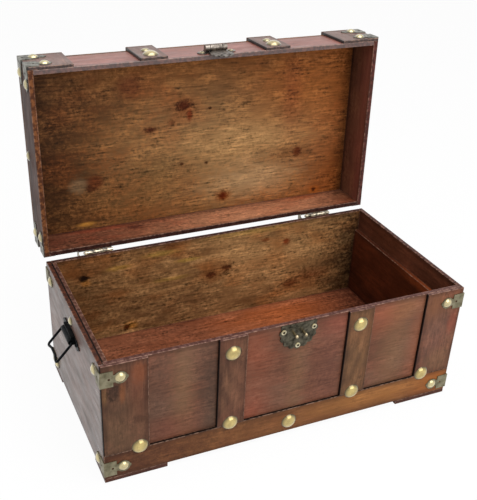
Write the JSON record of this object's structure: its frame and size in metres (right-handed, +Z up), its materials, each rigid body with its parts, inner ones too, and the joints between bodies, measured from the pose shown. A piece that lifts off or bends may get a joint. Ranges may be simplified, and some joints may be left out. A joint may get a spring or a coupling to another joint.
{
  "type": "treasure chest box",
  "caption": "Oblong wooden keepsake chest with strapped front, dome studs, corner brackets, side bail handles, and a hinged lid with a hasp, shown open.",
  "frame": {"origin": "on the floor, under the middle of the case", "axes": "+X to the right along the front, +Y from the front to the back, +Z up; the lid stands open"},
  "size_m": [0.5002, 0.3104, 0.3976],
  "materials": {
    "panel_wood": "red-brown stain under satin lacquer",
    "strap_wood": "brown stain under satin lacquer",
    "band_wood": "orange-brown stain under satin lacquer",
    "inner_wood": "thin brown stain",
    "stud_brass": "polished dome",
    "bracket_brass": "dull antique",
    "eyelet_brass": "pale, bright edge",
    "lock_bronze": "dark antique",
    "hinge_brass": "dull",
    "handle_iron": "black"
  },
  "bodies": {
    "base": {"back_left_foot": "band_wood", "back_right_foot": "band_wood", "base_back_panel": "panel_wood", "base_bottom_panel": "inner_wood", "base_bracket_nails": "stud_brass", "base_brackets": "bracket_brass", "base_front_panel": "panel_wood", "base_left_corner_strap": "strap_wood", "base_left_liner": "inner_wood", "base_left_mid_strap": "strap_wood", "base_left_side": "panel_wood", "base_right_corner_strap": "strap_wood", "base_right_liner": "inner_wood", "base_right_mid_strap": "strap_wood", "base_right_side": "panel_wood", "catch_plate": "lock_bronze", "catch_prongs": "eyelet_brass", "catch_rivets": "eyelet_brass", "front_bottom_band": "band_wood", "front_left_foot": "band_wood", "front_right_foot": "band_wood", "front_studs": "stud_brass", "handle_nails": "handle_iron", "hinge_base_screws": "hinge_brass", "left_handle_plate": "handle_iron", "left_hinge_base_leaf": "hinge_brass", "left_hinge_pin": "hinge_brass", "right_handle_plate": "handle_iron", "right_hinge_base_leaf": "hinge_brass", "right_hinge_pin": "hinge_brass", "side_studs": "stud_brass"},
    "lid": {"hasp_pin": "lock_bronze", "hasp_plate": "lock_bronze", "hasp_rivets": "eyelet_brass", "hinge_lid_screws": "hinge_brass", "left_hinge_lid_leaf": "hinge_brass", "lid_back_panel": "panel_wood", "lid_bracket_nails": "stud_brass", "lid_brackets": "bracket_brass", "lid_end_studs": "stud_brass", "lid_front_panel": "panel_wood", "lid_front_studs": "stud_brass", "lid_left_corner_strap": "strap_wood", "lid_left_mid_strap": "strap_wood", "lid_left_side": "panel_wood", "lid_right_corner_strap": "strap_wood", "lid_right_mid_strap": "strap_wood", "lid_right_side": "panel_wood", "lid_top_left_corner_strap": "strap_wood", "lid_top_left_mid_strap": "strap_wood", "lid_top_panel": "panel_wood", "lid_top_right_corner_strap": "strap_wood", "lid_top_right_mid_strap": "strap_wood", "lid_top_studs": "stud_brass", "right_hinge_lid_leaf": "hinge_brass"},
    "hasp_flap": {"hasp_flap": "lock_bronze"},
    "left_bail": {"left_handle_bail": "handle_iron"},
    "right_bail": {"right_handle_bail": "handle_iron"}
  },
  "joints": [
    {"name": "lid_hinge", "type": "hinge", "parent": "base", "child": "lid", "pos_m": [0, 0.1193, 0.15725], "axis": [1, 0, 0], "range_deg": [0, 92]},
    {"name": "hasp_hinge", "type": "hinge", "parent": "lid", "child": "hasp_flap", "pos_m": [0.0035, 0.14082, 0.39384], "axis": [-1, 0, 0], "range_deg": [0, 150]},
    {"name": "left_bail_pivot", "type": "hinge", "parent": "base", "child": "left_bail", "pos_m": [-0.23, 0, 0.124], "axis": [0, 1, 0], "range_deg": [-44, 68]},
    {"name": "right_bail_pivot", "type": "hinge", "parent": "base", "child": "right_bail", "pos_m": [0.23, 0, 0.124], "axis": [0, -1, 0], "range_deg": [-44, 68]}
  ]
}
